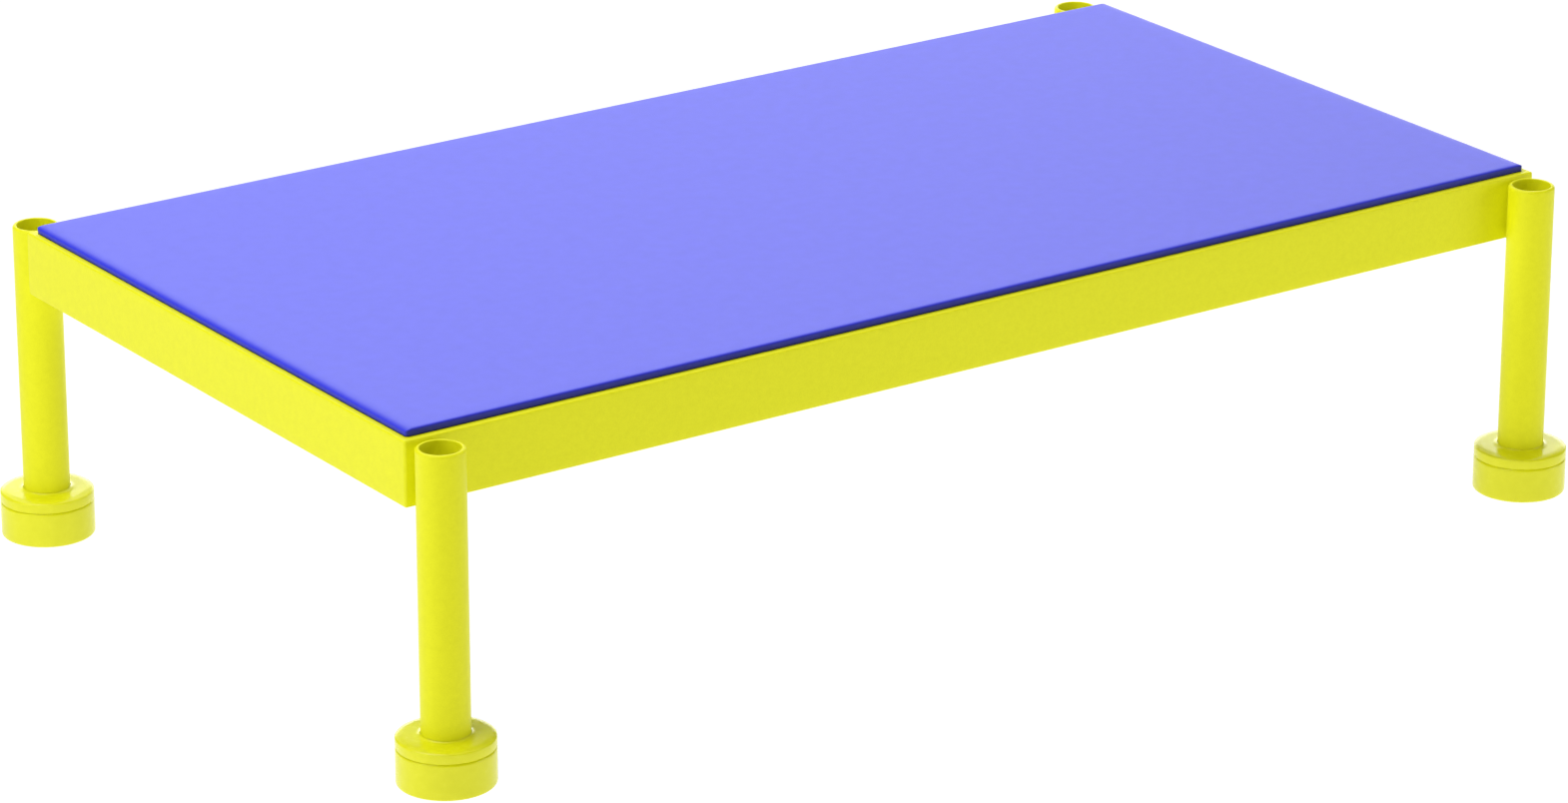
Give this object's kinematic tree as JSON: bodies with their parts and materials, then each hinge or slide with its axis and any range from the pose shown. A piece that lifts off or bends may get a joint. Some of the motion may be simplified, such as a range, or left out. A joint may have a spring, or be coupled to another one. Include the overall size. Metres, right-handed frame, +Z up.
{
  "type": "junior rectangular trampoline",
  "caption": "Low rectangular junior trampoline: deep tube frame on round open-topped legs with two-step feet, jump mat on springs, thin padded cover.",
  "frame": {"origin": "on the floor under the middle of the frame", "axes": "+X along the long sides, +Y from the front long side to the rear one, +Z up"},
  "size_m": [1.516, 0.9242, 0.3677],
  "materials": {
    "yellow_powder_coat": "fine-textured satin powder coat",
    "yellow_moulded_foot": "smooth moulded, soft gloss",
    "blue_vinyl": "vinyl-coated cloth with a fine random grain",
    "black_mat_weave": "woven polypropylene",
    "black_webbing": "woven webbing",
    "zinc_plated_steel": "bright zinc plate"
  },
  "bodies": {
    "frame": {"rail_front": "yellow_powder_coat", "rail_rear": "yellow_powder_coat", "rail_left": "yellow_powder_coat", "rail_right": "yellow_powder_coat", "leg_front_left": "yellow_powder_coat", "leg_front_right": "yellow_powder_coat", "leg_rear_left": "yellow_powder_coat", "leg_rear_right": "yellow_powder_coat", "foot_collar_front_left": "yellow_moulded_foot", "foot_collar_front_right": "yellow_moulded_foot", "foot_collar_rear_left": "yellow_moulded_foot", "foot_collar_rear_right": "yellow_moulded_foot", "foot_base_front_left": "yellow_moulded_foot", "foot_base_front_right": "yellow_moulded_foot", "foot_base_rear_left": "yellow_moulded_foot", "foot_base_rear_right": "yellow_moulded_foot", "pad_front": "blue_vinyl", "pad_rear": "blue_vinyl", "pad_left": "blue_vinyl", "pad_right": "blue_vinyl"},
    "bed": {"jump_mat": "black_mat_weave", "pad_centre": "blue_vinyl"},
    "spring_row_front": {"hem_front": "black_webbing", "spring_front_01": "zinc_plated_steel", "spring_front_02": "zinc_plated_steel", "spring_front_03": "zinc_plated_steel", "spring_front_04": "zinc_plated_steel", "spring_front_05": "zinc_plated_steel", "spring_front_06": "zinc_plated_steel", "spring_front_07": "zinc_plated_steel", "spring_front_08": "zinc_plated_steel", "spring_front_09": "zinc_plated_steel", "spring_front_10": "zinc_plated_steel", "spring_front_11": "zinc_plated_steel", "spring_front_12": "zinc_plated_steel"},
    "spring_row_rear": {"hem_rear": "black_webbing", "spring_rear_01": "zinc_plated_steel", "spring_rear_02": "zinc_plated_steel", "spring_rear_03": "zinc_plated_steel", "spring_rear_04": "zinc_plated_steel", "spring_rear_05": "zinc_plated_steel", "spring_rear_06": "zinc_plated_steel", "spring_rear_07": "zinc_plated_steel", "spring_rear_08": "zinc_plated_steel", "spring_rear_09": "zinc_plated_steel", "spring_rear_10": "zinc_plated_steel", "spring_rear_11": "zinc_plated_steel", "spring_rear_12": "zinc_plated_steel"},
    "spring_row_left": {"hem_left": "black_webbing", "spring_left_01": "zinc_plated_steel", "spring_left_02": "zinc_plated_steel", "spring_left_03": "zinc_plated_steel", "spring_left_04": "zinc_plated_steel", "spring_left_05": "zinc_plated_steel"},
    "spring_row_right": {"hem_right": "black_webbing", "spring_right_01": "zinc_plated_steel", "spring_right_02": "zinc_plated_steel", "spring_right_03": "zinc_plated_steel", "spring_right_04": "zinc_plated_steel", "spring_right_05": "zinc_plated_steel"}
  },
  "joints": [
    {"name": "bed_bounce", "type": "slide", "parent": "frame", "child": "bed", "axis": [0, 0, 1], "range_m": [-0.13, 0], "stiffness_N_per_m": 6000, "springref_m": 0.015},
    {"name": "spring_row_front_tilt", "type": "hinge", "parent": "frame", "child": "spring_row_front", "pos_m": [0, -0.34625, 0.3513], "axis": [1, 0, 0], "range_deg": [-23, 0]},
    {"name": "spring_row_rear_tilt", "type": "hinge", "parent": "frame", "child": "spring_row_rear", "pos_m": [0, 0.34625, 0.3513], "axis": [-1, 0, 0], "range_deg": [-23, 0]},
    {"name": "spring_row_left_tilt", "type": "hinge", "parent": "frame", "child": "spring_row_left", "pos_m": [-0.69375, 0, 0.3513], "axis": [0, -1, 0], "range_deg": [-23, 0]},
    {"name": "spring_row_right_tilt", "type": "hinge", "parent": "frame", "child": "spring_row_right", "pos_m": [0.69375, 0, 0.3513], "axis": [0, 1, 0], "range_deg": [-23, 0]}
  ],
  "couplings": [
    {"joint": "spring_row_front_tilt", "follows": "bed_bounce", "rad_per_m": 3},
    {"joint": "spring_row_rear_tilt", "follows": "bed_bounce", "rad_per_m": 3},
    {"joint": "spring_row_left_tilt", "follows": "bed_bounce", "rad_per_m": 3},
    {"joint": "spring_row_right_tilt", "follows": "bed_bounce", "rad_per_m": 3}
  ]
}
